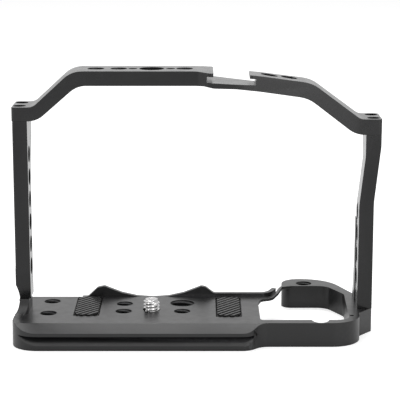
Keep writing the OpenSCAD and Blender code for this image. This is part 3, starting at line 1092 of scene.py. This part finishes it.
@dataclass
class Circlip:
    """Stamped inside retaining ring with an eye in each lug."""

    node: str = "screw_circlip"
    gap_deg: float = 20.5
    lug_deg: float = 35.0
    taper_deg: float = 44.0
    lug_radius: float = 5.05 * MM
    end_radius: float = 6.0 * MM
    middle_radius: float = 5.35 * MM
    eye: float = 0.6 * MM
    edge: float = 0.06 * MM
    groove_play: float = 0.03 * MM
    limit_deg: float = 50.0
    steps: int = 120
    eye_steps: int = 24

    def inner(self, angle_deg: float) -> float:
        """Finds the inner radius, which is least at the lugs.

        Args:
            angle_deg: Angle from the gap's middle, from 0 to 360 degrees.

        Returns:
            The radius.
        """
        away = min(angle_deg, 360.0 - angle_deg)
        if away < self.lug_deg:
            return self.lug_radius
        if away < self.taper_deg:
            share = (away - self.lug_deg) / (self.taper_deg - self.lug_deg)
            ease = share * share * (3.0 - 2.0 * share)
            return self.lug_radius + (self.end_radius - self.lug_radius) * ease
        swing = 0.5 - 0.5 * math.cos(math.pi * (away - self.taper_deg) / (180.0 - self.taper_deg))
        return self.end_radius + (self.middle_radius - self.end_radius) * swing

    def build(self, material: bpy.types.Material) -> bpy.types.Object:
        """Stamps the ring.

        Args:
            material: Finish of the ring.

        Returns:
            The ring.
        """
        low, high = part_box(self.node)
        outer = (high.y - low.y) / 2.0 - self.groove_play
        span_deg = 360.0 - 2.0 * self.gap_deg
        sweep = [self.gap_deg + span_deg * i / self.steps for i in range(self.steps + 1)]
        rim = [(outer, a) for a in sweep] + [(self.inner(a), a) for a in reversed(sweep)]
        loops = [[(r * math.cos(math.radians(a)), r * math.sin(math.radians(a))) for r, a in rim]]
        eye_deg = (self.gap_deg + self.lug_deg) / 2.0
        eye_at = (outer + self.lug_radius) / 2.0
        turns = [2.0 * math.pi * i / self.eye_steps for i in range(self.eye_steps)]
        for angle in (math.radians(eye_deg), -math.radians(eye_deg)):
            x, y = eye_at * math.cos(angle), eye_at * math.sin(angle)
            loops.append([(x + self.eye * math.cos(t), y + self.eye * math.sin(t))
                          for t in turns])
        work = bmesh.new()
        for points in loops:
            verts = [work.verts.new((x, y, low.z)) for x, y in points]
            for a, b in zip(verts, verts[1:] + verts[:1]):
                work.edges.new((a, b))
        bmesh.ops.triangle_fill(work, edges=work.edges, use_beauty=True)
        raised = bmesh.ops.extrude_face_region(work, geom=list(work.faces))
        lifted = [item for item in raised["geom"] if isinstance(item, bmesh.types.BMVert)]
        bmesh.ops.translate(work, verts=lifted, vec=(0.0, 0.0, high.z - low.z))
        bmesh.ops.recalc_face_normals(work, faces=work.faces)
        bevel(work, sharp_edges(work, self.limit_deg), self.edge, 1)
        piece = from_bmesh("circlip_stamped", work)
        dress(piece, material)
        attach(piece, Body.CAGE.value)
        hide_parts(self.node)
        LOG.info("%s: %.1f mm across", piece.name, 2.0 * outer / MM)
        return piece


@dataclass
class GripPad:
    """Moulded rubber pad with straight ridges that run aslant."""

    node: str
    offset: float = 0.2
    play: float = 0.12 * MM
    corner: float = 2.8 * MM
    corner_steps: int = 8
    flange_z: float = -0.62 * MM
    foot_z: float = -0.25 * MM
    gap: float = 0.42 * MM
    draft: float = 0.08 * MM
    overrun: float = 0.5 * MM
    pitch: float = 2.07 * MM
    ridge_deg: float = 50.0
    ridge_top: float = 0.85 * MM
    flank: float = 0.35 * MM
    groove_z: float = -0.12 * MM
    slab_reach: float = 60.0 * MM
    shading_deg: float = 24.0

    def outline(self, half_x: float, half_y: float, z: float) -> list[Vector]:
        """Lists the points of a rectangle with round corners.

        Args:
            half_x: Half its width.
            half_y: Half its length.
            z: Height of its points, measured from the pad's middle.

        Returns:
            The points, anticlockwise.
        """
        points = []
        for quarter, (sx, sy) in enumerate(((1, 1), (-1, 1), (-1, -1), (1, -1))):
            for i in range(self.corner_steps + 1):
                angle = math.pi / 2.0 * (quarter + i / self.corner_steps)
                points.append(Vector((sx * (half_x - self.corner) + self.corner * math.cos(angle),
                                      sy * (half_y - self.corner) + self.corner * math.sin(angle),
                                      z)))
        return points

    def ridged_slab(self, low_z: float, high_z: float) -> bpy.types.Object:
        """Makes a slab wider than the pad whose top carries the ridges.

        Args:
            low_z: Height of its underside.
            high_z: Height of the ridges.

        Returns:
            The slab.
        """
        along = Vector((math.cos(math.radians(self.ridge_deg)),
                        math.sin(math.radians(self.ridge_deg)), 0.0))
        across = Vector((along.y, -along.x, 0.0))
        count = math.ceil(self.slab_reach / self.pitch)
        side = (count + 1.0) * self.pitch
        half, foot = self.ridge_top / 2.0, self.ridge_top / 2.0 + self.flank
        section = [(-side, low_z)]
        for k in range(-count, count + 1):
            crest = (k - self.offset) * self.pitch
            section += [(crest - foot, self.groove_z), (crest - half, high_z),
                        (crest + half, high_z), (crest + foot, self.groove_z)]
        section.append((side, low_z))
        work = bmesh.new()
        skin(work, [[across * u + along * w + Vector((0.0, 0.0, z)) for u, z in section]
                    for w in (-self.slab_reach, self.slab_reach)])
        return from_bmesh(self.node + "_slab", work)

    def build(self, material: bpy.types.Material) -> bpy.types.Object:
        """Moulds the pad.

        Args:
            material: Finish of the pad.

        Returns:
            The pad.
        """
        low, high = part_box(self.node)
        middle = (low + high) / 2.0
        half_x = (high.x - low.x) / 2.0 - self.play
        half_y = (high.y - low.y) / 2.0 - self.play
        rings = []
        for z, inset in ((low.z, 0.0), (self.flange_z, 0.0), (self.foot_z, self.gap),
                         (high.z + self.overrun, self.gap + self.draft)):
            ring = self.outline(half_x - inset, half_y - inset, z)
            rings.append([Vector((middle.x, middle.y, 0.0)) + point for point in ring])
        work = bmesh.new()
        skin(work, rings)
        blank = from_bmesh(self.node + "_blank", work)
        slab = self.ridged_slab(low.z - self.overrun, high.z)
        shape_with(blank, slab, Keep.INSIDE)
        piece = from_bmesh(self.node + "_ribbed", to_bmesh(blank), self.shading_deg)
        dress(piece, material)
        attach(piece, Body.CAGE.value)
        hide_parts(self.node)
        LOG.info("%s: %d faces", piece.name, len(piece.data.polygons))
        return piece


class HeadEnd(Enum):
    """End of the box that holds a screw's head."""

    TOP = 1
    BOTTOM = -1


@dataclass
class SocketScrew:
    """Corner screw with a knurled head and a hexagon socket."""

    node: str
    end: HeadEnd
    head_height: float = 1.6 * MM
    head_foot: float = 1.2 * MM
    head_edge: float = 0.1 * MM
    chamfer: float = 0.28 * MM
    teeth: int = 24
    knurl_depth: float = 0.07 * MM
    steps_per_tooth: int = 6
    key: float = 2.5 * MM
    key_depth: float = 1.0 * MM
    key_lead: float = 0.12 * MM
    key_mouth: float = 0.05 * MM
    drill: float = 0.15 * MM
    drill_depth: float = 0.3 * MM
    core: float = 1.03 * MM
    tip_share: float = 0.7
    tip_length: float = 0.35 * MM
    neck_taper: float = 0.15 * MM
    thread_low: float = 0.3 * MM
    thread_gap: float = 0.5 * MM
    thread_steps: int = 20

    def build(self, material: bpy.types.Material) -> bpy.types.Object:
        """Makes the screw.

        Args:
            material: Finish of the screw.

        Returns:
            The screw.
        """
        low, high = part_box(self.node)
        middle = (low + high) / 2.0
        radius = (high.x - low.x) / 2.0
        length = high.z - low.z
        foot = Vector((middle.x, middle.y, low.z if self.end is HeadEnd.TOP else high.z))
        place = placed(foot, Vector((0.0, 0.0, float(self.end.value))))
        neck = length - self.head_height
        floor = length - self.key_depth
        rim = knurl(radius, self.knurl_depth, self.teeth)
        flats = hexagon(self.key)
        mouth = self.key / 2.0 / math.cos(math.pi / 6.0) + self.key_mouth
        profile = [
            (self.core * self.tip_share, 0.0), (self.core, self.tip_length),
            (self.core, neck - self.neck_taper), (self.head_foot, neck),
            (radius - self.head_edge, neck), (rim, neck + self.head_edge),
            (rim, length - self.chamfer), (radius - self.chamfer, length),
            (mouth, length), (flats, length - self.key_lead), (flats, floor),
            (self.drill, floor - self.drill_depth)]
        work = bmesh.new()
        revolve(work, profile, place, self.steps_per_tooth * self.teeth)
        CORNER.ridge(work, place, self.core, True, self.thread_low, neck - self.thread_gap,
                     self.thread_steps)
        piece = from_bmesh(self.node + "_socket", work)
        dress(piece, material)
        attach(piece, Body.CAGE.value)
        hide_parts(self.node)
        LOG.info("%s: %.1f mm long", piece.name, length / MM)
        return piece


@dataclass
class DowelPin:
    """Ground pin with rounded ends."""

    node: str
    crown: float = 0.18 * MM
    flat_share: float = 0.4
    steps: int = 40

    def build(self, material: bpy.types.Material) -> bpy.types.Object:
        """Grinds the pin.

        Args:
            material: Finish of the pin.

        Returns:
            The pin.
        """
        low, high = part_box(self.node)
        middle = (low + high) / 2.0
        radius = (high.x - low.x) / 2.0
        length = high.z - low.z
        rise = [(radius - self.crown * (1.0 - math.sin(math.radians(a))),
                 self.crown * (1.0 - math.cos(math.radians(a)))) for a in (0, 30, 60, 90)]
        profile = [(radius * self.flat_share, 0.0)] + rise
        profile += [(r, length - z) for r, z in reversed(profile)]
        work = bmesh.new()
        place = Matrix.Translation((middle.x, middle.y, low.z))
        revolve(work, profile, place, self.steps)
        piece = from_bmesh(self.node + "_pin", work)
        dress(piece, material)
        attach(piece, Body.CAGE.value)
        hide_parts(self.node)
        LOG.info("%s: %.1f mm long", piece.name, length / MM)
        return piece


@dataclass(frozen=True)
class Lamp:
    """Square soft lamp that the camera doesn't see."""

    name: str
    place: Point
    size: float
    watts: float

    def build(self, target: Point) -> None:
        """Hangs the lamp.

        Args:
            target: The point that it faces.
        """
        light = bpy.data.lights.new(self.name, "AREA")
        light.shape = "SQUARE"
        light.size = self.size
        light.energy = self.watts
        holder = bpy.data.objects.new(self.name, light)
        bpy.context.scene.collection.objects.link(holder)
        holder.location = self.place
        holder.visible_camera = False
        aim = Vector(target) - Vector(self.place)
        holder.rotation_euler = aim.to_track_quat("-Z", "Y").to_euler()


@dataclass
class Studio:
    """Floor, surround, lamps and camera."""

    floor_z: float = -9.5 * MM
    floor_half: float = 6.0
    surround: float = 0.5
    backdrop: float = 1.0
    target: Point = (0.0, 0.0, 0.04)
    lamps: tuple[Lamp, ...] = (
        Lamp("overhead", (0.0, -0.05, 0.95), 0.9, 3.2),
        Lamp("overhead_back", (0.0, 0.55, 0.95), 0.6, 4.2),
        Lamp("left_front", (-0.64, -0.40, 0.17), 0.36, 0.55),
        Lamp("right_front", (0.36, -0.60, 0.17), 0.36, 0.68))
    lens: float = 139.5
    sensor: float = 36.0
    eye: Point = (19.0 * MM, -587.6 * MM, 165.5 * MM)
    pitch_deg: float = 11.7
    clip_end: float = 20.0

    def build(self) -> None:
        """Builds everything that isn't the object."""
        self.build_floor()
        self.build_world()
        for lamp in self.lamps:
            lamp.build(self.target)
        self.build_camera()

    def build_floor(self) -> None:
        """Lays a large pale floor under the cage."""
        work = bmesh.new()
        bmesh.ops.create_grid(work, x_segments=8, y_segments=8, size=self.floor_half,
                              matrix=Matrix.Translation((0.0, 0.0, self.floor_z)))
        floor = from_bmesh("studio_floor", work)
        dress(floor, FloorFinish("studio_floor").build())

    def build_world(self) -> None:
        """Sets a soft surround that the camera and the reflections see as white."""
        world = bpy.data.worlds.new("studio")
        bpy.context.scene.world = world
        graph = NodeGraph(world, "ShaderNodeOutputWorld")
        rays = graph.add("ShaderNodeLightPath").outputs
        clear = graph.value("MAXIMUM", rays["Is Glossy Ray"], rays["Is Transmission Ray"])
        mix = graph.add("ShaderNodeMixShader")
        graph.link(graph.value("MAXIMUM", rays["Is Camera Ray"], clear), mix.inputs["Fac"])
        for strength, socket in ((self.surround, mix.inputs[1]), (self.backdrop, mix.inputs[2])):
            sky = graph.add("ShaderNodeBackground")
            sky.inputs["Color"].default_value = (1.0, 1.0, 1.0, 1.0)
            sky.inputs["Strength"].default_value = strength
            graph.link(sky.outputs["Background"], socket)
        graph.link(mix.outputs["Shader"], graph.output.inputs["Surface"])

    def build_camera(self) -> None:
        """Places the camera."""
        data = bpy.data.cameras.new("camera")
        data.lens = self.lens
        data.sensor_width = self.sensor
        data.clip_end = self.clip_end
        camera = bpy.data.objects.new("camera", data)
        bpy.context.scene.collection.objects.link(camera)
        camera.location = self.eye
        camera.rotation_euler = (math.radians(90.0 - self.pitch_deg), 0.0, 0.0)
        bpy.context.scene.camera = camera


def machined_plates() -> tuple[MachinedPiece, ...]:
    """Lists the machined plates with the edges that are broken more than the rest.

    Returns:
        The base plate, the left and right side plates and the top beam.
    """
    lip = EdgeRule((-53.0, -25.0, -7.9), (40.0, -22.0, -6.8), 0.35, 2)
    foot = EdgeRule((-53.5, -13.2, 0.3), (-46.5, -4.6, 5.6), 0.5, 2)
    left_edge = EdgeRule((-52.7, -4.9, 18.0), (-52.5, -4.7, 76.0), 1.0)
    right_edge = EdgeRule((86.4, 0.9, -1.0), (89.1, 1.1, 70.0), 0.5)
    shoe_left = EdgeRule((23.9, 15.4, 92.2), (24.3, 15.9, 94.0), 1.5)
    shoe_right = EdgeRule((37.6, 8.1, 91.5), (38.1, 8.5, 93.2), 1.5)
    waist = Relief(x_range=(-60.0, -40.0), face_y=-4.8, low_z=5.5, height=13.0, depth=1.1)
    return (
        MachinedPiece("base_plate", Slot.BASE, ("base_", "bar_"), (lip, foot)),
        MachinedPiece("left_side_plate", Slot.SIDE, ("left_",), (left_edge,), waist),
        MachinedPiece("right_side_plate", Slot.SIDE, ("right_",), (right_edge,)),
        MachinedPiece("top_beam", Slot.BEAM, ("top_", "shoulder_"), (shoe_left, shoe_right)))


def main() -> None:
    """Builds the cage piece by piece."""
    logging.basicConfig(level=logging.INFO, format="%(name)s: %(message)s")
    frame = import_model()
    scene = bpy.context.scene
    scene.view_settings.view_transform = "Standard"
    Studio().build()
    base_skin = AnodisedFinish("base_black", smooth=0.29, rough=0.36, ior=1.49,
                               dark=(0.0040, 0.0040, 0.0043),
                               light=(0.0070, 0.0071, 0.0076)).build()
    side_skin = AnodisedFinish("side_black", smooth=0.16, rough=0.22, ior=1.43,
                               dark=(0.0045, 0.0045, 0.0048),
                               light=(0.0075, 0.0076, 0.0080)).build()
    beam_skin = AnodisedFinish("beam_black", smooth=0.20, rough=0.27, ior=1.45).build()
    # The threads in the holes get a paler copy of the black anodise: painted light inside the
    # holes.
    painted_light_thread_skin = AnodisedFinish("painted_light_threads", smooth=0.42, rough=0.52, ior=1.33,
                                 dark=(0.012, 0.012, 0.0125),
                                 light=(0.020, 0.020, 0.021)).build()
    finishes = ((base_skin, painted_light_thread_skin), (side_skin, side_skin), (side_skin, side_skin),
                (beam_skin, painted_light_thread_skin))
    for plate, (outside, inside) in zip(machined_plates(), finishes):
        plate.build(frame, outside)
        ThreadedHoles(plate.node, plate.slot, plate.holes).build(frame, inside)
    CaptiveScrew().build(TurnedSteelFinish("turned_steel").build())
    ThrustWasher().build(TurnedSteelFinish("washer_steel", smooth=0.22, rough=0.38).build())
    Circlip().build(BlackSteelFinish("phosphated_steel", dark=(0.03, 0.03, 0.032),
                                     light=(0.09, 0.088, 0.085)).build())
    rubber = RubberFinish("ribbed_rubber").build()
    for hand in ("left", "right"):
        GripPad(hand + "_grip_pad").build(rubber)
    oxide = BlackSteelFinish("black_oxide_steel").build()
    ground = GroundSteelFinish("ground_steel").build()
    for level, end in (("top", HeadEnd.TOP), ("base", HeadEnd.BOTTOM)):
        for hand in ("left", "right"):
            for depth in ("near", "far"):
                SocketScrew(f"{level}_{hand}_screw_{depth}", end).build(oxide)
            DowelPin(f"{level}_{hand}_dowel").build(ground)


if __name__ == "__main__":
    main()
